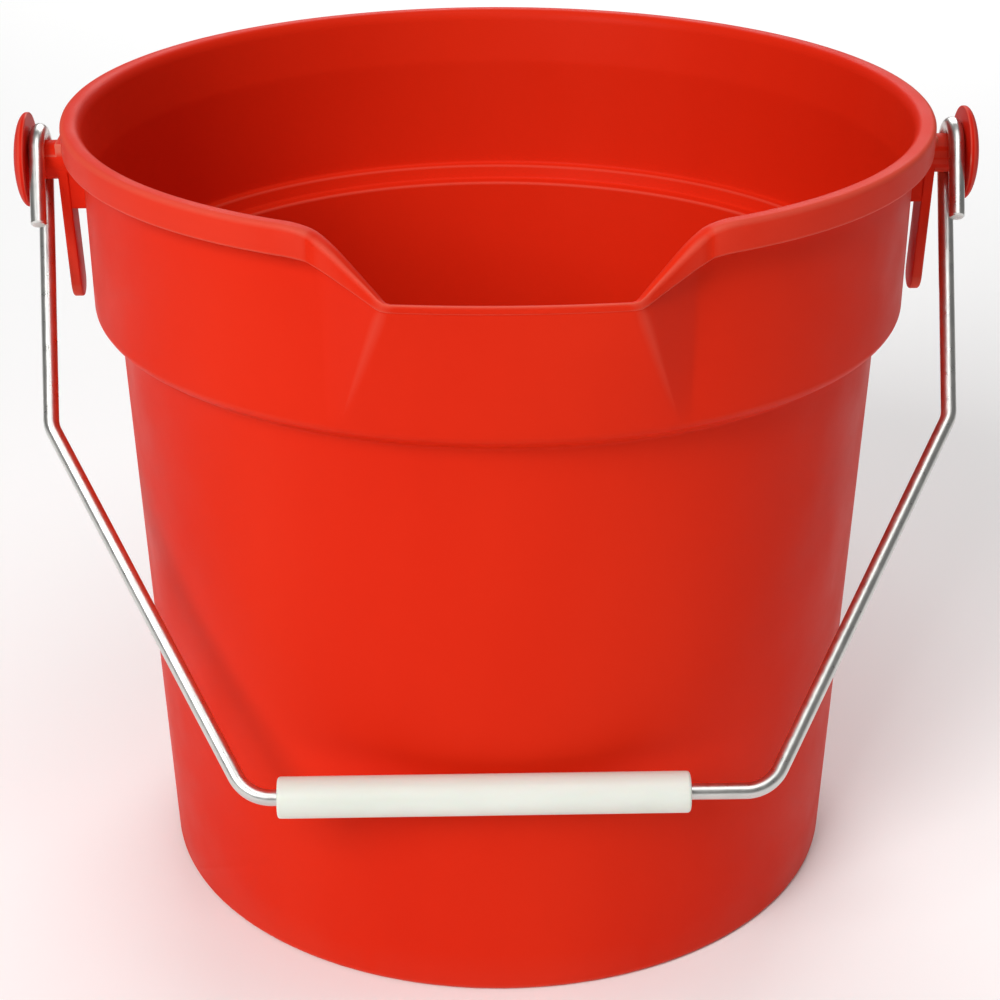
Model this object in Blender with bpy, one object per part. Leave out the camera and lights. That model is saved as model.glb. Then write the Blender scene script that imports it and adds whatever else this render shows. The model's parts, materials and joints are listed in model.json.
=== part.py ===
"""A round wash bucket with a pouring spout, a steel bail and a plastic hand grip.

The frame is the bucket's own, in metres: +Z is up, the spout points along -Y, and the
origin is on the ground under the middle of the bucket.  The left side is at -X.
"""

import bmesh
import bpy
from math import atan2, copysign, cos, hypot, pi, radians, sin, sqrt
from mathutils import Vector

# Bucket wall: the outer face's radii and heights, from the ground up.
HEIGHT = 0.2509
RIM_RADIUS = 0.13335
WALL = 0.003
BASE_RADIUS = 0.1123
JUNCTION_RADIUS = 0.1196
JUNCTION_HEIGHT = 0.1872
SHOULDER_RADIUS = 0.1257
SHOULDER_HEIGHT = 0.1907
BAND_FOOT_RADIUS = 0.127
BAND_FOOT_HEIGHT = 0.1927
BAND_TOP_RADIUS = 0.1276
BASE_CORNER = 0.002

# Underside and floor: the bucket stands on a ring round a raised panel.
RING_WIDTH = 0.008
RING_SLOPE = 0.001
PANEL_RISE = 0.002
FLOOR_TOP = 0.005
FLOOR_CORNER = 0.006
INNER_JUNCTION_HEIGHT = 0.1899
INNER_STEP_FOOT = (0.1207, 0.1902)
INNER_STEP_TOP = (0.1216, 0.1949)
INNER_BAND_FOOT_HEIGHT = 0.1952

# Rim flange: full size round the bucket, thin along the spout's lip.  Each crown is the
# rounded inner edge of the rim's top, as (offset from the wall's outer face, drop) pairs.
FLANGE_HEIGHT = 0.0088
LIP_FLANGE_HEIGHT = 0.0024
LIP_FLANGE_REACH = 0.0003
RIM_EDGE = 0.0012
LIP_EDGE = 0.0005
RIM_CROWN = [(0.0016, 0.0), (0.0004, 0.0008), (-0.0006, 0.0026), (-0.003, 0.018)]
LIP_CROWN = [(-0.0006, 0.0), (-0.0016, 0.0004), (-0.0024, 0.001), (-0.003, 0.0022)]

# Spout: a flat-fronted bulge between two creases, under a notch in the rim.
ROOT_ANGLE = radians(21.5)
CREASE_ANGLE = radians(23)
SHOULDER_ANGLE = radians(30)
LIP_HALF_WIDTH = 0.0332
LIP_REACH = 0.1347
LIP_SAG = 0.0021
LIP_HEIGHT = 0.2336
NOTCH_SLOPE = 0.78
NOTCH_ROUNDING = 0.009
FACE_COLUMNS = 8
CHEEK_COLUMNS = 3
SHOULDER_COLUMNS = 3
PLAIN_COLUMNS = 74

# Ears: on each side a hanger block under the flange and a round boss hold a tongue that
# hangs down outside the band, clear of it.
PIVOT_HEIGHT = 0.234
EAR_OUTER = 0.1362
EAR_THICKNESS = 0.0032
EAR_HALF_WIDTH = 0.0056
EAR_TOP = 0.2404
EAR_FOOT = 0.1895
EAR_LEAN = 0.035
EAR_ARC_STEPS = 8
HANGER_ROOT = 0.1262
HANGER_FOOT = 0.2195
HANGER_TOP = 0.2435
HANGER_LIP = 0.1328
BOSS_RADIUS = 0.006
BOSS_END = 0.1444
BORE_RADIUS = 0.0037
BORE_END = 0.1294
GROOVE_RADIUS = 0.0043
GROOVE_START = 0.1298
GROOVE_END = 0.1326
ROUND_SEGMENTS = 24

# Bail: round wire with a hook at each end, straight legs, slanted arms and a straight middle.
WIRE_RADIUS = 0.0024
WIRE_SIDES = 12
HOOK_PLANE = 0.1417
HOOK_RADIUS = 0.0087
HOOK_TAIL = 0.0255
TAIL_X = 0.1399
ELBOW_X = 0.137
ELBOW_DROP = 0.084
CORNER_X = 0.0763
ELBOW_BEND = 0.009
CORNER_BEND = 0.012
HOOK_STEPS = 8
BEND_STEPS = 4

# Hand grip: a tube round the wire that rests on the front of the bucket.
GRIP_RADIUS = 0.0061
GRIP_BORE = 0.00325
GRIP_LENGTH = 0.1203
GRIP_SHIFT = -0.0073
GRIP_HEIGHT = 0.078
GRIP_CLEARANCE = 0.0006
GRIP_EDGE = 0.0006

# Bail pins: a domed head outside the hook, and a split shank that snaps in behind the ear.
HEAD_RADIUS = 0.0145
HEAD_INNER = 0.1447
HEAD_EDGE = 0.0009
HEAD_CROWN = 0.1496
HEAD_STEPS = 4
SHANK_RADIUS = 0.0034
BARB_RADIUS = 0.0039
BARB_TIP_RADIUS = 0.0026
BARB_GAP = 0.0003
BARB_LENGTH = 0.0024
SLOT_WIDTH = 0.0012
SLOT_DEPTH = 0.0095


# ---------------------------------------------------------------- general helpers

def clear_scene():
    """Remove every object that is already there."""
    for item in list(bpy.data.objects):
        bpy.data.objects.remove(item, do_unlink=True)


def material(name, colour, roughness, metallic=0.0):
    """A Principled material of one colour."""
    made = bpy.data.materials.new(name)
    made.use_nodes = True
    shader = made.node_tree.nodes["Principled BSDF"]
    shader.inputs["Base Color"].default_value = (*colour, 1.0)
    shader.inputs["Roughness"].default_value = roughness
    shader.inputs["Metallic"].default_value = metallic
    return made


def add_object(name, points, faces, finish=None):
    """Make a mesh object from points and faces."""
    mesh = bpy.data.meshes.new(name)
    mesh.from_pydata(points, [], faces)
    mesh.shade_smooth()
    mesh.set_sharp_from_angle(angle=radians(30))
    if finish:
        mesh.materials.append(finish)
    item = bpy.data.objects.new(name, mesh)
    bpy.context.collection.objects.link(item)
    return item


def boolean(target, tool, operation):
    """Join a tool to the target, or cut it away, and hide the tool."""
    tool.hide_render = True
    tool.display_type = "WIRE"
    modifier = target.modifiers.new(tool.name, "BOOLEAN")
    modifier.operation = operation
    modifier.solver = "EXACT"
    modifier.object = tool


def spaced(start, end, count):
    """Evenly spaced values from start, without the end."""
    return [start + (end - start) * step / count for step in range(count)]


def bridged(rows, close_ends=True):
    """Faces between rings of equal length, with the first and last ring filled."""
    size = len(rows[0])
    points = [point for row in rows for point in row]
    faces = []
    for row in range(len(rows) - 1):
        for column in range(size):
            after = (column + 1) % size
            low, high = row * size, (row + 1) * size
            faces.append((low + column, low + after, high + after, high + column))
    if close_ends:
        faces.append(tuple(reversed(range(size))))
        faces.append(tuple(range(len(points) - size, len(points))))
    return points, faces


def turned(profile, segments, axis_height=0.0, side=1):
    """Rings of a solid turned about an X axis, from (x, radius) pairs with x rising."""
    rows = []
    for along, radius in profile:
        turns = [side * 2 * pi * step / segments for step in range(segments)]
        rows.append([Vector((side * along, radius * cos(turn), axis_height + radius * sin(turn)))
                     for turn in turns])
    return rows


# ---------------------------------------------------------------- bucket body

def polar(radius, angle, height):
    """A point at an angle from the spout's middle, which points along -Y."""
    return Vector((radius * sin(angle), -radius * cos(angle), height))


def column_angles():
    """The angle at which each column of the wall's grid starts, between -180 and 180 degrees."""
    angles = spaced(-SHOULDER_ANGLE, -CREASE_ANGLE, SHOULDER_COLUMNS)
    angles += spaced(-CREASE_ANGLE, -ROOT_ANGLE, CHEEK_COLUMNS)
    angles += spaced(-ROOT_ANGLE, ROOT_ANGLE, FACE_COLUMNS)
    angles += spaced(ROOT_ANGLE, CREASE_ANGLE, CHEEK_COLUMNS)
    angles += spaced(CREASE_ANGLE, SHOULDER_ANGLE, SHOULDER_COLUMNS)
    angles += spaced(SHOULDER_ANGLE, 2 * pi - SHOULDER_ANGLE, PLAIN_COLUMNS)
    return [angle - 2 * pi if angle > pi else angle for angle in angles]


def notch_height(distance):
    """Height of the rim at a distance from the lip's corner along the side of the notch."""
    top = (HEIGHT - LIP_HEIGHT) / NOTCH_SLOPE
    if distance >= top + NOTCH_ROUNDING:
        return HEIGHT
    if distance <= top - NOTCH_ROUNDING:
        return LIP_HEIGHT + NOTCH_SLOPE * max(distance, 0.0)
    left = top + NOTCH_ROUNDING - distance
    return HEIGHT - NOTCH_SLOPE * left * left / (4 * NOTCH_ROUNDING)


def rim_point(angle):
    """Top of the wall's outer face in the column that starts at an angle."""
    away = abs(angle)
    corner = Vector((LIP_HALF_WIDTH, LIP_SAG - LIP_REACH))
    crease = polar(BAND_TOP_RADIUS, CREASE_ANGLE, 0.0).to_2d()
    cheek_length = (crease - corner).length
    if away <= ROOT_ANGLE:
        across = away / ROOT_ANGLE
        spot = Vector((across * LIP_HALF_WIDTH, LIP_SAG * across * across - LIP_REACH))
        distance = 0.0
    elif away <= CREASE_ANGLE:
        share = (away - ROOT_ANGLE) / (CREASE_ANGLE - ROOT_ANGLE)
        spot = corner.lerp(crease, share)
        distance = share * cheek_length
    else:
        spot = polar(BAND_TOP_RADIUS, away, 0.0).to_2d()
        distance = cheek_length + BAND_TOP_RADIUS * (away - CREASE_ANGLE)
    return Vector((copysign(spot.x, angle), spot.y, notch_height(distance)))


def outward(ring):
    """Horizontal outward directions at the points of a ring, lengthened where it turns."""
    directions = []
    for index, point in enumerate(ring):
        before = (point - ring[index - 1]).to_2d().normalized()
        after = (ring[(index + 1) % len(ring)] - point).to_2d().normalized()
        first = Vector((before.y, -before.x))
        second = Vector((after.y, -after.x))
        joint = (first + second) / (1 + first.dot(second))
        directions.append(joint.to_3d())
    return directions


def shifted(ring, distances):
    """A ring moved outward by a distance for each point."""
    return [point + way * distance
            for point, way, distance in zip(ring, outward(ring), distances)]


def lowered(ring, drops):
    """A ring moved down by a drop for each point."""
    return [point - Vector((0, 0, drop)) for point, drop in zip(ring, drops)]


def body_rings():
    """Rings of the bucket's surface: underside, outer face, rim, inner face and floor."""
    angles = column_angles()

    def circle(radius, height):
        return [polar(radius, angle, height) for angle in angles]

    foot = [polar(BAND_FOOT_RADIUS, angle, BAND_FOOT_HEIGHT) for angle in angles]
    rim = [rim_point(angle) for angle in angles]
    fullness = [(point.z - LIP_HEIGHT) / (HEIGHT - LIP_HEIGHT) for point in rim]
    full_reach = RIM_RADIUS - BAND_TOP_RADIUS
    reach = [LIP_FLANGE_REACH + (full_reach - LIP_FLANGE_REACH) * share for share in fullness]
    depth = [LIP_FLANGE_HEIGHT + (FLANGE_HEIGHT - LIP_FLANGE_HEIGHT) * share for share in fullness]
    inset = [-WALL] * len(angles)

    def up_band(low, high, share):
        return [a.lerp(b, share) for a, b in zip(low, high)]

    edge = [LIP_EDGE + (RIM_EDGE - LIP_EDGE) * share for share in fullness]
    under_flange = [a.lerp(b, 1 - drop / (b.z - a.z)) for a, b, drop in zip(foot, rim, depth)]
    flange_foot = shifted(under_flange, reach)
    flange_side = lowered(shifted(rim, reach), edge)
    flange_top = shifted(rim, [far - cut for far, cut in zip(reach, edge)])
    crown = []
    for (lip_way, lip_drop), (rim_way, rim_drop) in zip(LIP_CROWN, RIM_CROWN):
        ways = [lip_way + (rim_way - lip_way) * share for share in fullness]
        drops = [lip_drop + (rim_drop - lip_drop) * share for share in fullness]
        crown.append(lowered(shifted(rim, ways), drops))
    lift = [BAND_FOOT_HEIGHT - INNER_BAND_FOOT_HEIGHT] * len(angles)
    inner_foot = lowered(shifted(foot, inset), lift)

    slant = (JUNCTION_RADIUS - BASE_RADIUS) / JUNCTION_HEIGHT
    corner = BASE_CORNER * (1 - sqrt(0.5))
    floor_corner = FLOOR_CORNER * (1 - sqrt(0.5))
    ring_outer = BASE_RADIUS - BASE_CORNER
    ring_inner = ring_outer - RING_WIDTH
    inner_base = BASE_RADIUS + slant * FLOOR_TOP - WALL
    return [
        circle(ring_inner - RING_SLOPE, PANEL_RISE),
        circle(ring_inner, 0.0),
        circle(ring_outer, 0.0),
        circle(BASE_RADIUS - corner, corner),
        circle(BASE_RADIUS + slant * BASE_CORNER, BASE_CORNER),
        circle(JUNCTION_RADIUS, JUNCTION_HEIGHT),
        circle(SHOULDER_RADIUS, SHOULDER_HEIGHT),
        foot,
        up_band(foot, under_flange, 0.5),
        under_flange,
        flange_foot,
        flange_side,
        flange_top,
        *crown,
        up_band(inner_foot, crown[-1], 0.5),
        inner_foot,
        circle(*INNER_STEP_TOP),
        circle(*INNER_STEP_FOOT),
        circle(JUNCTION_RADIUS - WALL, INNER_JUNCTION_HEIGHT),
        circle(inner_base + slant * FLOOR_CORNER, FLOOR_TOP + FLOOR_CORNER),
        circle(inner_base - floor_corner, FLOOR_TOP + floor_corner),
        circle(inner_base - FLOOR_CORNER, FLOOR_TOP),
    ]


def extruded(name, side, near, far, outline):
    """A solid between two distances out along X, from a (y, z) outline, leaning with the ear."""
    rows = []
    for face in (near, far):
        rows.append([Vector((side * (face - EAR_LEAN * (PIVOT_HEIGHT - up)), side * across, up))
                     for across, up in outline])
    return add_object(name, *bridged(rows))


def ear_tongue(side):
    """The narrow plate that hangs outside the band, with a round lower end."""
    centre = EAR_FOOT + EAR_HALF_WIDTH
    outline = [(-EAR_HALF_WIDTH, EAR_TOP)]
    for step in range(EAR_ARC_STEPS + 1):
        turn = pi * step / EAR_ARC_STEPS
        outline.append((-EAR_HALF_WIDTH * cos(turn), centre - EAR_HALF_WIDTH * sin(turn)))
    outline.append((EAR_HALF_WIDTH, EAR_TOP))
    return extruded("tongue_tool", side, EAR_OUTER - EAR_THICKNESS, EAR_OUTER, outline)


def ear_hanger(side):
    """The block that ties the tongue to the band, with a top that slopes up to the flange."""
    middle = EAR_OUTER - EAR_THICKNESS / 2
    outline = [(HANGER_ROOT, HANGER_FOOT), (middle, HANGER_FOOT), (middle, EAR_TOP),
               (HANGER_LIP, HANGER_TOP), (HANGER_ROOT, HANGER_TOP)]
    rows = [[Vector((side * out, side * across, up)) for out, up in outline]
            for across in (EAR_HALF_WIDTH, -EAR_HALF_WIDTH)]
    return add_object("hanger_tool", *bridged(rows))


def round_tool(name, side, profile):
    """A solid turned about the bail's axis, from (distance out along X, radius) pairs."""
    return add_object(name, *bridged(turned(profile, ROUND_SEGMENTS, PIVOT_HEIGHT, side)))


def boss(side):
    """The round boss that the bail's hook turns on, from the band out through the tongue."""
    return round_tool("boss_tool", side, [(HANGER_ROOT, BOSS_RADIUS), (BOSS_END, BOSS_RADIUS)])


def bore(side):
    """The blind bore for the bail pin, with a groove that its barb snaps into."""
    return round_tool("bore_tool", side, [
        (BORE_END, BORE_RADIUS),
        (GROOVE_START, BORE_RADIUS),
        (GROOVE_START, GROOVE_RADIUS),
        (GROOVE_END, GROOVE_RADIUS),
        (GROOVE_END, BORE_RADIUS),
        (BOSS_END + WALL, BORE_RADIUS),
    ])


def build_body(finish):
    """The bucket's one moulding: wall, floor, rim, spout, ears and bosses."""
    body = add_object("bucket_body", *bridged(body_rings()), finish)
    for side in (-1, 1):
        for tool in (ear_hanger(side), ear_tongue(side), boss(side)):
            boolean(body, tool, "UNION")
        boolean(body, bore(side), "DIFFERENCE")
    return body


# ---------------------------------------------------------------- bail and grip

def rounded_corner(before, corner, after, radius):
    """Points of the arc that replaces a corner between two straight runs."""
    back = (before - corner).normalized()
    ahead = (after - corner).normalized()
    half = back.angle(ahead) / 2
    reach = radius * cos(half) / sin(half)
    start = corner + back * reach
    end = corner + ahead * reach
    centre = corner + (back + ahead).normalized() * (radius / sin(half))
    arc = []
    for step in range(BEND_STEPS + 1):
        spoke = (start - centre).lerp(end - centre, step / BEND_STEPS).normalized()
        arc.append(centre + spoke * radius)
    return arc


def grip_position():
    """Where the grip's axis is, on the front of the bucket."""
    wall = BASE_RADIUS + (JUNCTION_RADIUS - BASE_RADIUS) * GRIP_HEIGHT / JUNCTION_HEIGHT
    return Vector((GRIP_SHIFT, -(wall + GRIP_RADIUS + GRIP_CLEARANCE), GRIP_HEIGHT))


def bail_reach():
    """How far below the pivots the wire's straight middle hangs."""
    grip = grip_position()
    distance = hypot(grip.y, PIVOT_HEIGHT - grip.z)
    return sqrt(distance * distance - HOOK_RADIUS * HOOK_RADIUS)


def bail_tilt():
    """How far the bail swings forward from hanging straight down."""
    grip = grip_position()
    return atan2(-grip.y, PIVOT_HEIGHT - grip.z) + atan2(HOOK_RADIUS, bail_reach())


def half_bail_path():
    """The wire's centre line from the end of the right hook to the middle, hanging straight down."""
    path = [Vector((TAIL_X, -HOOK_RADIUS, -HOOK_TAIL))]
    for step in range(HOOK_STEPS + 1):
        turn = pi * step / HOOK_STEPS
        path.append(Vector((HOOK_PLANE, -HOOK_RADIUS * cos(turn), HOOK_RADIUS * sin(turn))))
    elbow = Vector((ELBOW_X, HOOK_RADIUS, -ELBOW_DROP))
    corner = Vector((CORNER_X, HOOK_RADIUS, -bail_reach()))
    middle = Vector((0, HOOK_RADIUS, -bail_reach()))
    path += rounded_corner(path[-1], elbow, corner, ELBOW_BEND)
    path += rounded_corner(elbow, corner, middle, CORNER_BEND)
    return path


def swept(path, radius, sides):
    """Rings of a round wire along a path, with no twist."""
    rows = []
    normal = Vector((1, 0, 0))
    for index, point in enumerate(path):
        before = path[max(index - 1, 0)]
        after = path[min(index + 1, len(path) - 1)]
        ahead = (after - before).normalized()
        normal = (normal - ahead * normal.dot(ahead)).normalized()
        across = ahead.cross(normal)
        turns = [2 * pi * step / sides for step in range(sides)]
        rows.append([point + radius * (normal * cos(turn) + across * sin(turn)) for turn in turns])
    return rows


def build_bail(finish):
    """The bent wire, with its origin on the axis that it swings about."""
    right = half_bail_path()
    left = [Vector((-point.x, point.y, point.z)) for point in reversed(right)]
    bail = add_object("bail_wire", *bridged(swept(right + left, WIRE_RADIUS, WIRE_SIDES)), finish)
    bail.location = (0, 0, PIVOT_HEIGHT)
    bail.rotation_euler = (-bail_tilt(), 0, 0)
    return bail


def build_grip(finish):
    """The tube on the wire's straight middle, with its origin on its own axis."""
    half = GRIP_LENGTH / 2
    profile = [
        (-half, GRIP_BORE),
        (-half, GRIP_RADIUS - GRIP_EDGE),
        (-half + GRIP_EDGE, GRIP_RADIUS),
        (half - GRIP_EDGE, GRIP_RADIUS),
        (half, GRIP_RADIUS - GRIP_EDGE),
        (half, GRIP_BORE),
    ]
    rows = turned(profile, ROUND_SEGMENTS)
    grip = add_object("hand_grip", *bridged(rows + rows[:1], close_ends=False), finish)
    weld = grip.modifiers.new("weld", "WELD")
    weld.merge_threshold = 0.00001
    grip.location = grip_position()
    return grip


# ---------------------------------------------------------------- bail pins

def pin_profile():
    """Outline of a bail pin from its barb's tip to the crown of its head."""
    barb_face = GROOVE_END - BARB_GAP
    profile = [
        (barb_face - BARB_LENGTH, BARB_TIP_RADIUS),
        (barb_face, BARB_RADIUS),
        (barb_face, SHANK_RADIUS),
        (HEAD_INNER, SHANK_RADIUS),
        (HEAD_INNER, HEAD_RADIUS),
        (HEAD_INNER + HEAD_EDGE, HEAD_RADIUS),
    ]
    rise = HEAD_CROWN - HEAD_INNER - HEAD_EDGE
    for step in range(1, HEAD_STEPS):
        turn = pi / 2 * step / HEAD_STEPS
        profile.append((HEAD_INNER + HEAD_EDGE + rise * sin(turn), HEAD_RADIUS * cos(turn)))
    return profile


def build_pin(name, side, finish):
    """One bail pin: a domed head and a split shank through the boss."""
    pin = add_object(name, *bridged(turned(pin_profile(), ROUND_SEGMENTS, PIVOT_HEIGHT, side)), finish)
    tip = GROOVE_END - BARB_GAP - BARB_LENGTH
    slot = bpy.data.meshes.new("slot_tool")
    shape = bmesh.new()
    bmesh.ops.create_cube(shape, size=1.0)
    shape.to_mesh(slot)
    shape.free()
    tool = bpy.data.objects.new("slot_tool", slot)
    bpy.context.collection.objects.link(tool)
    tool.scale = (2 * SLOT_DEPTH, 4 * SHANK_RADIUS, SLOT_WIDTH)
    tool.location = (side * tip, 0, PIVOT_HEIGHT)
    boolean(pin, tool, "DIFFERENCE")
    return pin


clear_scene()
red_plastic = material("red_plastic", (0.73, 0.03, 0.012), 0.38)
pin_plastic = material("pin_plastic", (0.68, 0.025, 0.012), 0.35)
white_plastic = material("white_plastic", (0.88, 0.9, 0.84), 0.45)
plated_steel = material("plated_steel", (0.66, 0.65, 0.62), 0.28, 1.0)

build_body(red_plastic)
build_bail(plated_steel)
build_grip(white_plastic)
build_pin("bail_pin_left", -1, pin_plastic)
build_pin("bail_pin_right", 1, pin_plastic)
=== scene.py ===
"""Looks of the wash bucket: a red moulded body, a plated wire bail, a white grip and two red pins.

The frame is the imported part's own, in metres: +Z is up, the spout points along -Y, and the
left side is at -X.  Each CAD node is replaced by a finer piece of the same size.
"""

import json
from math import atan2, copysign, cos, hypot, pi, radians, sin, sqrt

import bpy
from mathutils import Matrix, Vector


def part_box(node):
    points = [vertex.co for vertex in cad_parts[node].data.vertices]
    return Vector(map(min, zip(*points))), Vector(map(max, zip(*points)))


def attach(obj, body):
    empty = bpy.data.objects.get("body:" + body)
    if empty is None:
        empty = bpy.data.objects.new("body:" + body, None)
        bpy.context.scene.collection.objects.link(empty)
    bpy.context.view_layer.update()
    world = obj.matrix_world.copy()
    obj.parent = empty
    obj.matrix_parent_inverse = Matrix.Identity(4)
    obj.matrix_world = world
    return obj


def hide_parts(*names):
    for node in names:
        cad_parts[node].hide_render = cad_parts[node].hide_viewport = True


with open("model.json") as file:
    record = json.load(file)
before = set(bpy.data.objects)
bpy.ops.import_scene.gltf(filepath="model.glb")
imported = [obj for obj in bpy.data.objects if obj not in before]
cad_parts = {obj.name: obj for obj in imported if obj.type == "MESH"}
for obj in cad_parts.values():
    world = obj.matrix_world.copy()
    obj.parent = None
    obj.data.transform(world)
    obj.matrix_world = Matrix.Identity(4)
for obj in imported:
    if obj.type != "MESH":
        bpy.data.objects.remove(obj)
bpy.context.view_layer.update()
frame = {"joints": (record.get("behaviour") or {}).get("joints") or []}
body_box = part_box("bucket_body")
grip_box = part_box("hand_grip")
pin_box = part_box("bail_pin_right")

# Bucket wall: the outer face's radii and heights, from the ground up.
HEIGHT = body_box[1].z
RIM_RADIUS = body_box[1].y
WALL = 0.003
BASE_RADIUS = 0.1123
JUNCTION_RADIUS = 0.1196
JUNCTION_HEIGHT = 0.1872
SHOULDER_RADIUS = 0.1257
SHOULDER_HEIGHT = 0.1907
BAND_FOOT_RADIUS = 0.127
BAND_FOOT_HEIGHT = 0.1927
BAND_TOP_RADIUS = 0.1276
BASE_CORNER = 0.002

# Underside and floor: the bucket stands on a ring round a raised panel.
RING_WIDTH = 0.008
RING_SLOPE = 0.001
PANEL_RISE = 0.002
FLOOR_TOP = 0.005
FLOOR_CORNER = 0.006
INNER_JUNCTION_HEIGHT = 0.1899
INNER_STEP_FOOT = (0.1207, 0.1902)
INNER_STEP_TOP = (0.1216, 0.1949)
INNER_BAND_FOOT_HEIGHT = 0.1952

# Rim flange: full size round the bucket, thin along the spout's lip.  Each crown is the
# rounded inner edge of the rim's top, as (offset from the wall's outer face, drop) pairs.
FLANGE_HEIGHT = 0.0088
LIP_FLANGE_HEIGHT = 0.0024
LIP_FLANGE_REACH = 0.0003
RIM_CROWN = [(0.0016, 0.0), (0.0004, 0.0008), (-0.0006, 0.0026), (-0.003, 0.018)]
LIP_CROWN = [(-0.0006, 0.0), (-0.0016, 0.0004), (-0.0024, 0.001), (-0.003, 0.0022)]

# Spout: a flat-fronted bulge between two creases, under a notch in the rim.
ROOT_ANGLE = radians(21.5)
CREASE_ANGLE = radians(23)
SHOULDER_ANGLE = radians(30)
LIP_HALF_WIDTH = 0.0332
LIP_REACH = 0.1347
LIP_SAG = 0.0021
LIP_HEIGHT = 0.2336
NOTCH_SLOPE = 0.78
NOTCH_ROUNDING = 0.009
FACE_COLUMNS = 40
CHEEK_COLUMNS = 14
SHOULDER_COLUMNS = 12
PLAIN_COLUMNS = 220
WALL_ROWS = 6
BAND_ROWS = 12
CORNER_ROWS = 5
SOFTENING_ROUNDS = 1

# How far the rounding of each corner of the wall reaches along its two sides.
PANEL_ROUNDING = 0.0005
JUNCTION_ROUNDING = 0.0012
SHOULDER_ROUNDING = 0.001
UNDER_FLANGE_ROUNDING = 0.0006
FLANGE_FOOT_ROUNDING = 0.0009
FLANGE_TOP_ROUNDING = 0.0018
CROWN_ROUNDING = 0.0012
INNER_STEP_ROUNDING = 0.0009
LONGEST_ROUNDING = 0.48  # as a share of either side

# Ears: a tongue on each side, clear of the band, tied to it by a hanger block and a boss.
PIVOT_HEIGHT = frame["joints"][0]["pos_m"][2]
EAR_OUTER = 0.1362
EAR_THICKNESS = 0.0032
EAR_HALF_WIDTH = 0.0056
EAR_TOP = 0.2404
EAR_FOOT = 0.1895
EAR_LEAN = 0.035
EAR_EDGE = 0.0006
EAR_EDGE_STEPS = 3
EAR_EDGE_ANGLE = radians(40)  # edges sharper than this are rounded
EAR_ARC_STEPS = 24
HANGER_ROOT = 0.1262
HANGER_FOOT = 0.2195
HANGER_TOP = 0.2435
HANGER_LIP = 0.1328
BOSS_RADIUS = 0.006
BOSS_END = 0.1444
BOSS_ROUNDING = 0.0004
BORE_RADIUS = 0.0037
BORE_END = 0.1294
BORE_MARGIN = 0.0005  # the boss's end face starts this far inside the bore's cut

# Bail: round wire with a hook at each end, straight legs, slanted arms and a straight middle.
# A hook's open tail leans in a little from the plane of its bend.
WIRE_RADIUS = 0.0024
WIRE_EDGE = 0.0005
WIRE_SIDES = 32
HOOK_PLANE = 0.1417
HOOK_RADIUS = 0.0087
HOOK_TAIL = 0.0255
TAIL_X = 0.1399
ELBOW_X = 0.137
ELBOW_DROP = 0.084
CORNER_X = 0.0763
ELBOW_BEND = 0.009
CORNER_BEND = 0.012
HOOK_STEPS = 32
BEND_STEPS = 16

# Hand grip: a tube round the wire that rests on the front of the bucket.
GRIP_RADIUS = (grip_box[1].z - grip_box[0].z) / 2
GRIP_CENTRE = (grip_box[0] + grip_box[1]) / 2
GRIP_LENGTH = grip_box[1].x - grip_box[0].x
GRIP_BORE = 0.00325
GRIP_EDGE = 0.0011

# Bail pins: a domed head outside the hook, and a split shank in the boss.
HEAD_RADIUS = 0.0145
HEAD_INNER = 0.1447
HEAD_EDGE = 0.0009
HEAD_CROWN = pin_box[1].x
SHANK_RADIUS = 0.0034
BARB_RADIUS = 0.0039
BARB_TIP_RADIUS = 0.0026
BARB_FACE = 0.1323
BARB_LENGTH = 0.0024
SLOT_WIDTH = 0.0012
SLOT_DEPTH = 0.0095
HEAD_BACK_ROUNDING = 0.0005
HEAD_EDGE_ROUNDING = 0.0003
BARB_ROUNDING = 0.0002
DOME_STEPS = 16

# Round pieces and shading.
ROUND_SEGMENTS = 96
WELD_DISTANCE = 0.00001
MOULDED_SHARP_ANGLE = radians(32)
ROUND_SHARP_ANGLE = radians(40)

# Colours, as linear red, green and blue. A pair is the two ends of a cloudy surface's range.
BODY_RED = (0.68, 0.019, 0.0042), (0.74, 0.026, 0.0062)
PIN_RED = (0.58, 0.012, 0.004), (0.66, 0.016, 0.005)
# A pale pinkish red painted along outer edges as a highlight, standing in for the sheen of light on
# them.
EDGE_HIGHLIGHT_RED = (0.68, 0.17, 0.115)
TUBE_WHITE = (0.72, 0.76, 0.68), (0.8, 0.83, 0.76)
ZINC_GREY = (0.6, 0.6, 0.58), (0.7, 0.69, 0.66)
FLOOR_WHITE = (0.97, 0.97, 0.97), (0.99, 0.99, 0.985)

# Studio: a wide floor, and a long lens in front of the spout, a little to the bucket's left.
# The camera looks at the bucket's middle, but for a small turn to the right.
FLOOR_REACH = 4.0
SPOUT_YAW = radians(1.5)
CAMERA_DISTANCE = 0.67235
CAMERA_HEIGHT = 0.43088
CAMERA_PITCH = radians(25.124)
CAMERA_TURN = radians(0.05)
CAMERA_LENS = 80.0


# ---------------------------------------------------------------- mesh helpers

def add_piece(name, points, faces):
    """A mesh object from points and faces."""
    mesh = bpy.data.meshes.new(name)
    mesh.from_pydata(points, [], faces)
    item = bpy.data.objects.new(name, mesh)
    bpy.context.scene.collection.objects.link(item)
    return item


def apply_modifiers(item):
    """Turn an object's modifiers into its mesh."""
    bpy.context.view_layer.update()
    evaluated = item.evaluated_get(bpy.context.evaluated_depsgraph_get())
    mesh = bpy.data.meshes.new_from_object(evaluated)
    item.modifiers.clear()
    item.data = mesh


def combine(target, tool, operation):
    """Join a tool to the target, or cut it away, and remove the tool."""
    modifier = target.modifiers.new("combine", "BOOLEAN")
    modifier.operation = operation
    modifier.solver = "EXACT"
    modifier.object = tool
    apply_modifiers(target)
    bpy.data.objects.remove(tool, do_unlink=True)


def smooth(item, sharp_angle):
    """Shade smooth, but for edges sharper than an angle."""
    item.data.shade_smooth()
    item.data.set_sharp_from_angle(angle=sharp_angle)


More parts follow.
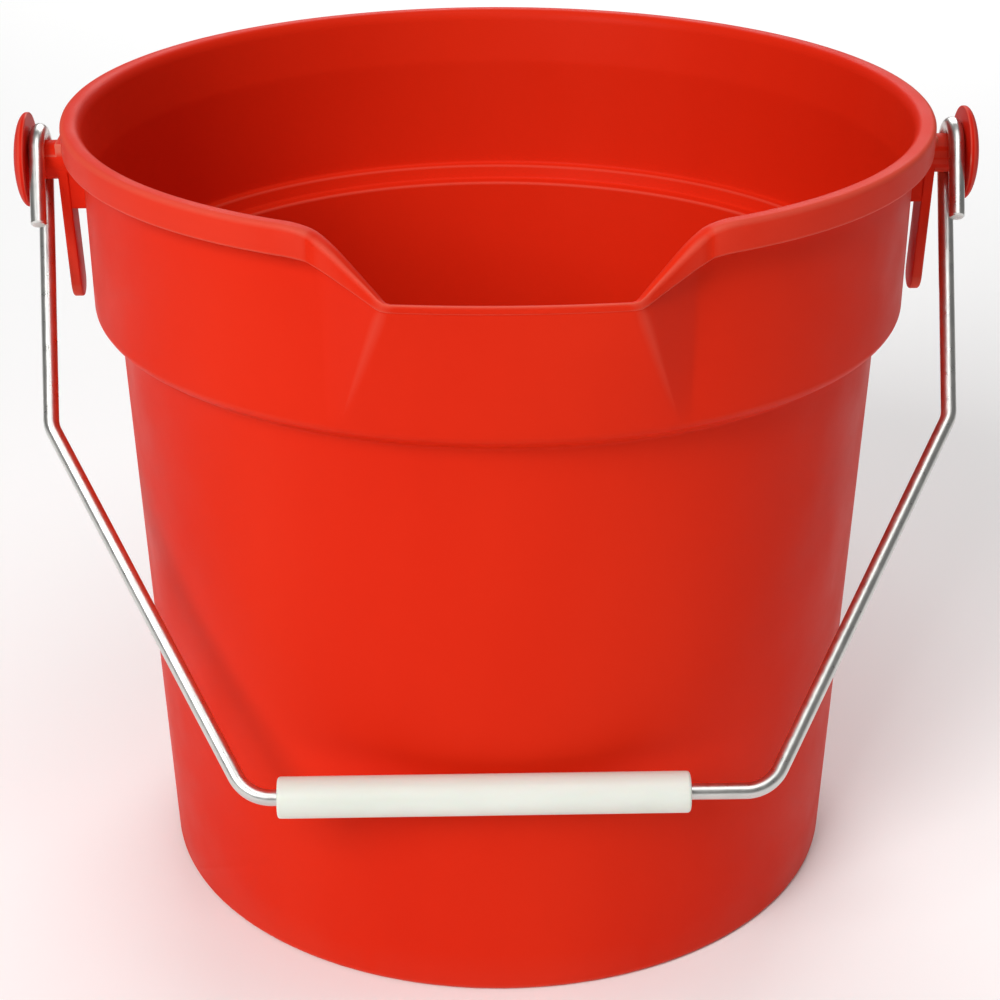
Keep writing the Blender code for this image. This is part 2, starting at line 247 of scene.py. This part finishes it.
def spaced(start, end, count):
    """Evenly spaced values from start, without the end."""
    return [start + (end - start) * step / count for step in range(count)]


def bridged(rows, close_ends=True):
    """Faces between rings of equal length, with the first and last ring filled."""
    size = len(rows[0])
    points = [point for row in rows for point in row]
    faces = []
    for row in range(len(rows) - 1):
        for column in range(size):
            after = (column + 1) % size
            low, high = row * size, (row + 1) * size
            faces.append((low + column, low + after, high + after, high + column))
    if close_ends:
        faces.append(tuple(reversed(range(size))))
        faces.append(tuple(range(len(points) - size, len(points))))
    return points, faces


def rounded(corner, before, after, setback, steps):
    """Points of a curve that replaces the corner between two neighbours."""
    back = before - corner
    ahead = after - corner
    start = corner + back * min(setback / back.length, LONGEST_ROUNDING)
    end = corner + ahead * min(setback / ahead.length, LONGEST_ROUNDING)
    curve = []
    for step in range(steps + 1):
        share = step / steps
        curve.append(start.lerp(corner, share).lerp(corner.lerp(end, share), share))
    return curve


def turned(profile, axis_height=0.0, side=1):
    """Rings of a solid turned about an X axis, from (x, radius) pairs with x rising."""
    rows = []
    for along, radius in profile:
        turns = [side * 2 * pi * step / ROUND_SEGMENTS for step in range(ROUND_SEGMENTS)]
        rows.append([Vector((side * along, radius * cos(turn), axis_height + radius * sin(turn)))
                     for turn in turns])
    return rows


def rounded_profile(keys, steps):
    """A profile of (x, radius) pairs from (x, radius, setback) keys, with its corners rounded."""
    spots = [Vector((along, radius, 0.0)) for along, radius, _ in keys]
    profile = [(spots[0].x, spots[0].y)]
    for index in range(1, len(keys) - 1):
        setback = keys[index][2]
        if setback:
            curve = rounded(spots[index], spots[index - 1], spots[index + 1], setback, steps)
        else:
            curve = [spots[index]]
        profile += [(spot.x, spot.y) for spot in curve]
    profile.append((spots[-1].x, spots[-1].y))
    return profile


# ---------------------------------------------------------------- bucket body

def polar(radius, angle, height):
    """A point at an angle from the spout's middle, which points along -Y."""
    return Vector((radius * sin(angle), -radius * cos(angle), height))


def column_angles():
    """The angle at which each column of the wall's grid starts, between -180 and 180 degrees."""
    angles = spaced(-SHOULDER_ANGLE, -CREASE_ANGLE, SHOULDER_COLUMNS)
    angles += spaced(-CREASE_ANGLE, -ROOT_ANGLE, CHEEK_COLUMNS)
    angles += spaced(-ROOT_ANGLE, ROOT_ANGLE, FACE_COLUMNS)
    angles += spaced(ROOT_ANGLE, CREASE_ANGLE, CHEEK_COLUMNS)
    angles += spaced(CREASE_ANGLE, SHOULDER_ANGLE, SHOULDER_COLUMNS)
    angles += spaced(SHOULDER_ANGLE, 2 * pi - SHOULDER_ANGLE, PLAIN_COLUMNS)
    return [angle - 2 * pi if angle > pi else angle for angle in angles]


def notch_height(distance):
    """Height of the rim at a distance from the lip's corner along the side of the notch."""
    top = (HEIGHT - LIP_HEIGHT) / NOTCH_SLOPE
    if distance >= top + NOTCH_ROUNDING:
        return HEIGHT
    if distance <= top - NOTCH_ROUNDING:
        return LIP_HEIGHT + NOTCH_SLOPE * max(distance, 0.0)
    left = top + NOTCH_ROUNDING - distance
    return HEIGHT - NOTCH_SLOPE * left * left / (4 * NOTCH_ROUNDING)


def rim_point(angle):
    """Top of the wall's outer face in the column that starts at an angle."""
    away = abs(angle)
    corner = Vector((LIP_HALF_WIDTH, LIP_SAG - LIP_REACH))
    crease = polar(BAND_TOP_RADIUS, CREASE_ANGLE, 0.0).to_2d()
    cheek_length = (crease - corner).length
    if away <= ROOT_ANGLE:
        across = away / ROOT_ANGLE
        spot = Vector((across * LIP_HALF_WIDTH, LIP_SAG * across * across - LIP_REACH))
        distance = 0.0
    elif away <= CREASE_ANGLE:
        share = (away - ROOT_ANGLE) / (CREASE_ANGLE - ROOT_ANGLE)
        spot = corner.lerp(crease, share)
        distance = share * cheek_length
    else:
        spot = polar(BAND_TOP_RADIUS, away, 0.0).to_2d()
        distance = cheek_length + BAND_TOP_RADIUS * (away - CREASE_ANGLE)
    return Vector((copysign(spot.x, angle), spot.y, notch_height(distance)))


def outward(ring):
    """Horizontal outward directions at the points of a ring, lengthened where it turns."""
    directions = []
    for index, point in enumerate(ring):
        before = (point - ring[index - 1]).to_2d().normalized()
        after = (ring[(index + 1) % len(ring)] - point).to_2d().normalized()
        first = Vector((before.y, -before.x))
        second = Vector((after.y, -after.x))
        joint = (first + second) / (1 + first.dot(second))
        directions.append(joint.to_3d())
    return directions


def shifted(ring, distances):
    """A ring moved outward by a distance for each point."""
    return [point + way * distance
            for point, way, distance in zip(ring, outward(ring), distances)]


def lowered(ring, drops):
    """A ring moved down by a drop for each point."""
    return [point - Vector((0, 0, drop)) for point, drop in zip(ring, drops)]


def softened(ring, angles):
    """A ring whose creases near the spout are rounded off by averaging neighbours."""
    for _ in range(SOFTENING_ROUNDS):
        size = len(ring)
        averaged = [(ring[index - 1] + ring[(index + 1) % size]) / 2 for index in range(size)]
        ring = [point.lerp(mean, 0.5) if abs(angle) < SHOULDER_ANGLE else point
                for point, mean, angle in zip(ring, averaged, angles)]
    return ring


def body_key_rings(angles):
    """The body's main rings, each with the setback of its rounded corner."""
    def circle(radius, height):
        return [polar(radius, angle, height) for angle in angles]

    foot = [polar(BAND_FOOT_RADIUS, angle, BAND_FOOT_HEIGHT) for angle in angles]
    rim = softened([rim_point(angle) for angle in angles], angles)
    fullness = [(point.z - LIP_HEIGHT) / (HEIGHT - LIP_HEIGHT) for point in rim]
    full_reach = RIM_RADIUS - BAND_TOP_RADIUS
    reach = [LIP_FLANGE_REACH + (full_reach - LIP_FLANGE_REACH) * share for share in fullness]
    depth = [LIP_FLANGE_HEIGHT + (FLANGE_HEIGHT - LIP_FLANGE_HEIGHT) * share
             for share in fullness]
    under_flange = [a.lerp(b, 1 - drop / (b.z - a.z)) for a, b, drop in zip(foot, rim, depth)]
    crown = []
    for (lip_way, lip_drop), (rim_way, rim_drop) in zip(LIP_CROWN, RIM_CROWN):
        ways = [lip_way + (rim_way - lip_way) * share for share in fullness]
        drops = [lip_drop + (rim_drop - lip_drop) * share for share in fullness]
        crown.append(lowered(shifted(rim, ways), drops))
    inset = [-WALL] * len(angles)
    lift = [BAND_FOOT_HEIGHT - INNER_BAND_FOOT_HEIGHT] * len(angles)
    inner_foot = lowered(shifted(foot, inset), lift)

    slant = (JUNCTION_RADIUS - BASE_RADIUS) / JUNCTION_HEIGHT
    ring_inner = BASE_RADIUS - BASE_CORNER - RING_WIDTH
    inner_base = BASE_RADIUS + slant * FLOOR_TOP - WALL
    outer_wall = [circle(BASE_RADIUS + (JUNCTION_RADIUS - BASE_RADIUS) * step / WALL_ROWS,
                         JUNCTION_HEIGHT * step / WALL_ROWS) for step in range(1, WALL_ROWS)]
    band = [[a.lerp(b, step / BAND_ROWS) for a, b in zip(foot, under_flange)]
            for step in range(1, BAND_ROWS)]
    inner_band = [[a.lerp(b, step / BAND_ROWS) for a, b in zip(crown[-1], inner_foot)]
                  for step in range(1, BAND_ROWS)]
    inner_top = JUNCTION_RADIUS - WALL
    inner_wall = [circle(inner_top + (inner_base - inner_top) * step / WALL_ROWS,
                         INNER_JUNCTION_HEIGHT
                         + (FLOOR_TOP - INNER_JUNCTION_HEIGHT) * step / WALL_ROWS)
                  for step in range(1, WALL_ROWS)]
    keys = [
        (circle(ring_inner - 2 * RING_SLOPE, PANEL_RISE), 0.0),
        (circle(ring_inner - RING_SLOPE, PANEL_RISE), PANEL_ROUNDING),
        (circle(ring_inner, 0.0), PANEL_ROUNDING),
        (circle(BASE_RADIUS, 0.0), BASE_CORNER),
    ]
    keys += [(ring, 0.0) for ring in outer_wall]
    keys += [
        (circle(JUNCTION_RADIUS, JUNCTION_HEIGHT), JUNCTION_ROUNDING),
        (circle(SHOULDER_RADIUS, SHOULDER_HEIGHT), SHOULDER_ROUNDING),
        (foot, SHOULDER_ROUNDING),
    ]
    keys += [(ring, 0.0) for ring in band]
    keys += [
        (under_flange, UNDER_FLANGE_ROUNDING),
        (shifted(under_flange, reach), FLANGE_FOOT_ROUNDING),
        (shifted(rim, reach), FLANGE_TOP_ROUNDING),
    ]
    keys += [(ring, CROWN_ROUNDING) for ring in crown]
    keys += [(ring, 0.0) for ring in inner_band]
    keys += [
        (inner_foot, SHOULDER_ROUNDING),
        (circle(*INNER_STEP_TOP), INNER_STEP_ROUNDING),
        (circle(*INNER_STEP_FOOT), INNER_STEP_ROUNDING),
        (circle(inner_top, INNER_JUNCTION_HEIGHT), SHOULDER_ROUNDING),
    ]
    keys += [(ring, 0.0) for ring in inner_wall]
    keys += [
        (circle(inner_base, FLOOR_TOP), FLOOR_CORNER),
        (circle(inner_base - 2 * FLOOR_CORNER, FLOOR_TOP), 0.0),
    ]
    return keys


def body_rows():
    """The body's rings with the corners between the main rings rounded."""
    keys = body_key_rings(column_angles())
    rings = [ring for ring, _ in keys]
    rows = [rings[0]]
    for index in range(1, len(keys) - 1):
        setback = keys[index][1]
        if not setback:
            rows.append(rings[index])
            continue
        neighbours = zip(rings[index - 1], rings[index], rings[index + 1])
        curves = [rounded(corner, before, after, setback, CORNER_ROWS)
                  for before, corner, after in neighbours]
        rows += [list(row) for row in zip(*curves)]
    rows.append(rings[-1])
    return rows


def bevelled(rows):
    """A solid between two outlines, with its edges rounded."""
    item = add_piece("ear_tool", *bridged(rows))
    bevel = item.modifiers.new("edge", "BEVEL")
    bevel.width = EAR_EDGE
    bevel.segments = EAR_EDGE_STEPS
    bevel.limit_method = "ANGLE"
    bevel.angle_limit = EAR_EDGE_ANGLE
    apply_modifiers(item)
    return item


def ear_tongue(side):
    """The narrow leaning plate that hangs outside the band, with a round lower end."""
    centre = EAR_FOOT + EAR_HALF_WIDTH
    outline = [(-EAR_HALF_WIDTH, EAR_TOP)]
    for step in range(EAR_ARC_STEPS + 1):
        turn = pi * step / EAR_ARC_STEPS
        outline.append((-EAR_HALF_WIDTH * cos(turn), centre - EAR_HALF_WIDTH * sin(turn)))
    outline.append((EAR_HALF_WIDTH, EAR_TOP))
    faces = (EAR_OUTER - EAR_THICKNESS, EAR_OUTER)
    return bevelled([[Vector((side * (face - EAR_LEAN * (PIVOT_HEIGHT - up)), side * across, up))
                      for across, up in outline] for face in faces])


def ear_hanger(side):
    """The block that ties the tongue to the band, with a top that slopes up to the flange."""
    half = EAR_HALF_WIDTH - EAR_EDGE
    middle = EAR_OUTER - EAR_THICKNESS / 2
    outline = [(HANGER_ROOT, HANGER_FOOT), (middle, HANGER_FOOT), (middle, EAR_TOP),
               (HANGER_LIP, HANGER_TOP), (HANGER_ROOT, HANGER_TOP)]
    return bevelled([[Vector((side * out, side * across, up)) for out, up in outline]
                     for across in (half, -half)])


def round_tool(side, keys):
    """A solid turned about the bail's axis, from (distance out, radius, setback) keys."""
    profile = rounded_profile(keys, CORNER_ROWS)
    return add_piece("round_tool", *bridged(turned(profile, PIVOT_HEIGHT, side)))


def build_body():
    """The bucket's one moulding: wall, floor, rim, spout, ears and bosses."""
    body = add_piece("wash_bucket_shell", *bridged(body_rows()))
    for side in (-1, 1):
        combine(body, ear_hanger(side), "UNION")
        combine(body, ear_tongue(side), "UNION")
        boss = [
            (HANGER_ROOT, BOSS_RADIUS, 0.0),
            (BOSS_END, BOSS_RADIUS, BOSS_ROUNDING),
            (BOSS_END, BORE_RADIUS - BORE_MARGIN, 0.0),
        ]
        bore = [(BORE_END, BORE_RADIUS, 0.0), (BOSS_END + WALL, BORE_RADIUS, 0.0)]
        combine(body, round_tool(side, boss), "UNION")
        combine(body, round_tool(side, bore), "DIFFERENCE")
    smooth(body, MOULDED_SHARP_ANGLE)
    return body


# ---------------------------------------------------------------- bail, grip and pins

def bail_reach():
    """How far below the pivots the wire's straight middle hangs."""
    distance = hypot(GRIP_CENTRE.y, PIVOT_HEIGHT - GRIP_CENTRE.z)
    return sqrt(distance * distance - HOOK_RADIUS * HOOK_RADIUS)


def bail_tilt():
    """How far the bail swings forward from hanging straight down."""
    return atan2(-GRIP_CENTRE.y, PIVOT_HEIGHT - GRIP_CENTRE.z) + atan2(HOOK_RADIUS, bail_reach())


def bend(before, corner, after, radius):
    """Points of the arc of a given radius between two straight runs of wire."""
    back = (before - corner).normalized()
    ahead = (after - corner).normalized()
    half = back.angle(ahead) / 2
    reach = radius * cos(half) / sin(half)
    centre = corner + (back + ahead).normalized() * (radius / sin(half))
    start = corner + back * reach - centre
    end = corner + ahead * reach - centre
    spokes = [start.lerp(end, step / BEND_STEPS).normalized() for step in range(BEND_STEPS + 1)]
    return [centre + spoke * radius for spoke in spokes]


def half_bail_path():
    """The wire's centre line from the right hook's end to the middle, hanging straight down."""
    path = [Vector((TAIL_X, -HOOK_RADIUS, -HOOK_TAIL))]
    for step in range(HOOK_STEPS + 1):
        turn = pi * step / HOOK_STEPS
        path.append(Vector((HOOK_PLANE, -HOOK_RADIUS * cos(turn), HOOK_RADIUS * sin(turn))))
    elbow = Vector((ELBOW_X, HOOK_RADIUS, -ELBOW_DROP))
    corner = Vector((CORNER_X, HOOK_RADIUS, -bail_reach()))
    middle = Vector((0, HOOK_RADIUS, -bail_reach()))
    path += bend(path[-1], elbow, corner, ELBOW_BEND)
    path += bend(elbow, corner, middle, CORNER_BEND)
    return path


def swept(path):
    """Rings of the round wire along a path, with a small chamfer at each end."""
    count = len(path)
    rows = []
    normal = Vector((1, 0, 0))
    turns = [2 * pi * step / WIRE_SIDES for step in range(WIRE_SIDES)]
    for index, point in enumerate(path):
        before = path[max(index - 1, 0)]
        after = path[min(index + 1, count - 1)]
        ahead = (after - before).normalized()
        normal = (normal - ahead * normal.dot(ahead)).normalized()
        across = ahead.cross(normal)
        spots = [(point, WIRE_RADIUS)]
        if index == 0:
            spots = [(point, WIRE_RADIUS - WIRE_EDGE), (point + ahead * WIRE_EDGE, WIRE_RADIUS)]
        if index == count - 1:
            spots = [(point - ahead * WIRE_EDGE, WIRE_RADIUS), (point, WIRE_RADIUS - WIRE_EDGE)]
        for spot, radius in spots:
            rows.append([spot + radius * (normal * cos(turn) + across * sin(turn))
                         for turn in turns])
    return rows


def build_bail():
    """The bent wire, swung forward to where the grip rests on the bucket."""
    right = half_bail_path()
    left = [Vector((-point.x, point.y, point.z)) for point in reversed(right)]
    bail = add_piece("bail_wire_fine", *bridged(swept(right + left)))
    bail.location = (0, 0, PIVOT_HEIGHT)
    bail.rotation_euler = (-bail_tilt(), 0, 0)
    smooth(bail, ROUND_SHARP_ANGLE)
    return bail


def build_grip():
    """The tube on the wire's straight middle."""
    half = GRIP_LENGTH / 2
    keys = [
        (0.0, GRIP_BORE, 0.0),
        (-half, GRIP_BORE, GRIP_EDGE / 2),
        (-half, GRIP_RADIUS, GRIP_EDGE),
        (half, GRIP_RADIUS, GRIP_EDGE),
        (half, GRIP_BORE, GRIP_EDGE / 2),
        (0.0, GRIP_BORE, 0.0),
    ]
    rows = turned(rounded_profile(keys, CORNER_ROWS))
    grip = add_piece("hand_grip_tube", *bridged(rows, close_ends=False))
    weld = grip.modifiers.new("weld", "WELD")
    weld.merge_threshold = WELD_DISTANCE
    apply_modifiers(grip)
    grip.location = GRIP_CENTRE
    smooth(grip, ROUND_SHARP_ANGLE)
    return grip


def build_pin(name, side):
    """One bail pin: a domed head and a split shank through the boss."""
    rise = HEAD_CROWN - HEAD_INNER - HEAD_EDGE
    keys = [
        (BARB_FACE - BARB_LENGTH, BARB_TIP_RADIUS, 0.0),
        (BARB_FACE, BARB_RADIUS, BARB_ROUNDING),
        (BARB_FACE, SHANK_RADIUS, 0.0),
        (HEAD_INNER, SHANK_RADIUS, 0.0),
        (HEAD_INNER, HEAD_RADIUS, HEAD_BACK_ROUNDING),
        (HEAD_INNER + HEAD_EDGE, HEAD_RADIUS, HEAD_EDGE_ROUNDING),
    ]
    for step in range(1, DOME_STEPS):
        turn = pi / 2 * step / DOME_STEPS
        keys.append((HEAD_INNER + HEAD_EDGE + rise * sin(turn), HEAD_RADIUS * cos(turn), 0.0))
    profile = rounded_profile(keys, CORNER_ROWS)
    pin = add_piece(name, *bridged(turned(profile, PIVOT_HEIGHT, side)))
    tip = BARB_FACE - BARB_LENGTH
    corners = [(-SLOT_DEPTH, -2 * SHANK_RADIUS), (SLOT_DEPTH, -2 * SHANK_RADIUS),
               (SLOT_DEPTH, 2 * SHANK_RADIUS), (-SLOT_DEPTH, 2 * SHANK_RADIUS)]
    rows = [[Vector((side * tip + x, y, PIVOT_HEIGHT + up)) for x, y in corners]
            for up in (-SLOT_WIDTH / 2, SLOT_WIDTH / 2)]
    combine(pin, add_piece("slot_tool", *bridged(rows)), "DIFFERENCE")
    smooth(pin, MOULDED_SHARP_ANGLE)
    return pin


# ---------------------------------------------------------------- materials

class Paint:
    """A Principled material with helpers that add procedural detail in the piece's own metres."""

    def __init__(self, name):
        self.material = bpy.data.materials.new(name)
        self.material.use_nodes = True
        self.tree = self.material.node_tree
        self.shader = self.tree.nodes["Principled BSDF"]
        self.place = self.tree.nodes.new("ShaderNodeTexCoord").outputs["Object"]

    def set(self, **values):
        """Constant values on the shader's own sockets."""
        for key, value in values.items():
            self.shader.inputs[key.replace("_", " ")].default_value = value

    def noise(self, scale, detail=3.0, stretch=(1, 1, 1)):
        """A noise factor with features of about 1 / scale metres, longer where stretch is small."""
        mapping = self.tree.nodes.new("ShaderNodeMapping")
        mapping.inputs["Scale"].default_value = stretch
        noise = self.tree.nodes.new("ShaderNodeTexNoise")
        noise.inputs["Scale"].default_value = scale
        noise.inputs["Detail"].default_value = detail
        self.tree.links.new(self.place, mapping.inputs["Vector"])
        self.tree.links.new(mapping.outputs["Vector"], noise.inputs["Vector"])
        return noise.outputs["Fac"]

    def ranged(self, factor, low=0.0, high=1.0, start=0.3, end=0.7):
        """A factor's values from start to end, spread over low to high."""
        spread = self.tree.nodes.new("ShaderNodeMapRange")
        spread.inputs["From Min"].default_value = start
        spread.inputs["From Max"].default_value = end
        spread.inputs["To Min"].default_value = low
        spread.inputs["To Max"].default_value = high
        self.tree.links.new(factor, spread.inputs["Value"])
        return spread.outputs["Result"]

    def feed(self, socket, colour):
        """Give a colour socket a constant or another node's output."""
        if isinstance(colour, tuple):
            socket.default_value = (*colour, 1.0)
        else:
            self.tree.links.new(colour, socket)

    def edges(self):
        """A factor that is above a half along outer edges and below it in corners."""
        return self.tree.nodes.new("ShaderNodeNewGeometry").outputs["Pointiness"]

    def blend(self, factor, first, second):
        """A colour between two others, by a factor."""
        mix = self.tree.nodes.new("ShaderNodeMix")
        mix.data_type = "RGBA"
        for socket in mix.inputs:
            if socket.name in ("A", "B") and socket.type == "RGBA":
                self.feed(socket, first if socket.name == "A" else second)
        self.tree.links.new(factor, mix.inputs["Factor"])
        return [socket for socket in mix.outputs if socket.type == "RGBA"][0]

    def bump(self, *layers):
        """Surface relief from (factor, depth in metres) layers."""
        normal = None
        for factor, depth in layers:
            bump = self.tree.nodes.new("ShaderNodeBump")
            bump.inputs["Strength"].default_value = 1.0
            bump.inputs["Distance"].default_value = depth
            self.tree.links.new(factor, bump.inputs["Height"])
            if normal:
                self.tree.links.new(normal, bump.inputs["Normal"])
            normal = bump.outputs["Normal"]
        self.tree.links.new(normal, self.shader.inputs["Normal"])

    def link(self, socket, value):
        """Feed one of the shader's sockets from another node."""
        self.tree.links.new(value, self.shader.inputs[socket])


def moulded_red(name, reds):
    """Injection-moulded plastic: flow mottling, a painted highlight of pale pinkish red along outer
    edges, and an orange-peel skin.
    """
    paint = Paint(name)
    paint.set(IOR=1.45, Specular_IOR_Level=0.05)
    flow = paint.noise(9.0, detail=4.0, stretch=(1, 1, 0.35))
    mottled = paint.blend(paint.ranged(flow), *reds)
    # Painted highlight: outer edges, such as the rim's crown and the spout's lip, turn pale pinkish
    # red in place of a sheen.
    edge_highlight = paint.ranged(paint.edges(), high=0.85, start=0.508, end=0.565)
    paint.link("Base Color", paint.blend(edge_highlight, mottled, EDGE_HIGHLIGHT_RED))
    wear = paint.noise(45.0, detail=5.0)
    paint.link("Roughness", paint.ranged(wear, low=0.36, high=0.5))
    ripple = paint.noise(140.0, detail=2.0)
    peel = paint.noise(1400.0, detail=2.0)
    paint.bump((ripple, 0.00006), (peel, 0.000012))
    return paint.material


def extruded_white():
    """Extruded plastic: fine draw lines along the tube, a slight tint and a soft sheen."""
    paint = Paint("white_plastic_fine")
    paint.set(IOR=1.49, Subsurface_Weight=0.12, Subsurface_Scale=0.003)
    lines = paint.noise(900.0, stretch=(0.02, 1, 1))
    cloud = paint.noise(60.0, stretch=(0.3, 1, 1))
    paint.link("Base Color", paint.blend(paint.ranged(cloud), *TUBE_WHITE))
    paint.link("Roughness", paint.ranged(lines, low=0.36, high=0.5))
    grain = paint.noise(1600.0, detail=2.0)
    paint.bump((lines, 0.00002), (grain, 0.000006))
    return paint.material


def plated_wire():
    """Zinc-plated drawn wire: grey metal with cloudy plating and faint lengthwise marks."""
    paint = Paint("plated_steel_fine")
    paint.set(Metallic=1.0)
    cloud = paint.noise(160.0, detail=4.0)
    paint.link("Base Color", paint.blend(paint.ranged(cloud), *ZINC_GREY))
    haze = paint.noise(420.0, detail=2.0)
    paint.link("Roughness", paint.ranged(haze, low=0.27, high=0.36))
    marks = paint.noise(700.0, detail=2.0, stretch=(1, 1, 0.1))
    paint.bump((marks, 0.000004))
    return paint.material


def finish(piece, material, body, node):
    """Give a piece its material and its body, in place of a CAD node."""
    piece.data.materials.clear()
    piece.data.materials.append(material)
    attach(piece, body)
    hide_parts(node)


# ---------------------------------------------------------------- studio

def add_floor():
    """A pale floor, wide enough to fill the view."""
    corners = [(-FLOOR_REACH, -FLOOR_REACH, 0), (FLOOR_REACH, -FLOOR_REACH, 0),
               (FLOOR_REACH, FLOOR_REACH, 0), (-FLOOR_REACH, FLOOR_REACH, 0)]
    floor = add_piece("studio_floor", corners, [(0, 1, 2, 3)])
    paint = Paint("pale_floor")
    paint.set(Roughness=0.9, Specular_IOR_Level=0.1)
    cloud = paint.noise(2.0, detail=2.0)
    paint.link("Base Color", paint.blend(paint.ranged(cloud), *FLOOR_WHITE))
    floor.data.materials.append(paint.material)


def add_light(name, place, target, size, power):
    """A soft white square light that points at a target."""
    light = bpy.data.lights.new(name, "AREA")
    light.shape = "SQUARE"
    light.size = size
    light.energy = power
    item = bpy.data.objects.new(name, light)
    item.location = place
    item.rotation_euler = (Vector(target) - Vector(place)).to_track_quat("-Z", "Y").to_euler()
    bpy.context.scene.collection.objects.link(item)


def add_world(strength):
    """An even, soft white light from all round."""
    world = bpy.data.worlds.new("studio_world")
    world.use_nodes = True
    background = world.node_tree.nodes["Background"]
    background.inputs["Color"].default_value = (1, 1, 1, 1)
    background.inputs["Strength"].default_value = strength
    bpy.context.scene.world = world


def add_camera():
    """A long lens in front of the spout, looking down into the bucket."""
    lens = bpy.data.cameras.new("camera")
    lens.lens = CAMERA_LENS
    camera = bpy.data.objects.new("camera", lens)
    camera.location = (-CAMERA_DISTANCE * sin(SPOUT_YAW), -CAMERA_DISTANCE * cos(SPOUT_YAW),
                       CAMERA_HEIGHT)
    camera.rotation_euler = (pi / 2 - CAMERA_PITCH, 0, -SPOUT_YAW - CAMERA_TURN)
    bpy.context.scene.collection.objects.link(camera)
    bpy.context.scene.camera = camera


body_red = moulded_red("red_plastic_fine", BODY_RED)
pin_red = moulded_red("pin_plastic_fine", PIN_RED)
finish(build_body(), body_red, "bucket", "bucket_body")
finish(build_bail(), plated_wire(), "bail", "bail_wire")
finish(build_grip(), extruded_white(), "grip", "hand_grip")
finish(build_pin("bail_pin_fine_left", -1), pin_red, "bucket", "bail_pin_left")
finish(build_pin("bail_pin_fine_right", 1), pin_red, "bucket", "bail_pin_right")

add_floor()
add_world(strength=0.19)
add_light("key", place=(-1.0, -1.5, 1.38), target=(0, 0, 0.12), size=1.0, power=32.0)
add_light("top", place=(0.25, -0.55, 1.9), target=(0, 0, 0.1), size=1.2, power=9.5)
add_light("backdrop", place=(0.2, 1.9, 1.4), target=(0, 0.8, 0), size=1.6, power=26.0)
add_camera()
bpy.context.scene.view_settings.view_transform = "Standard"
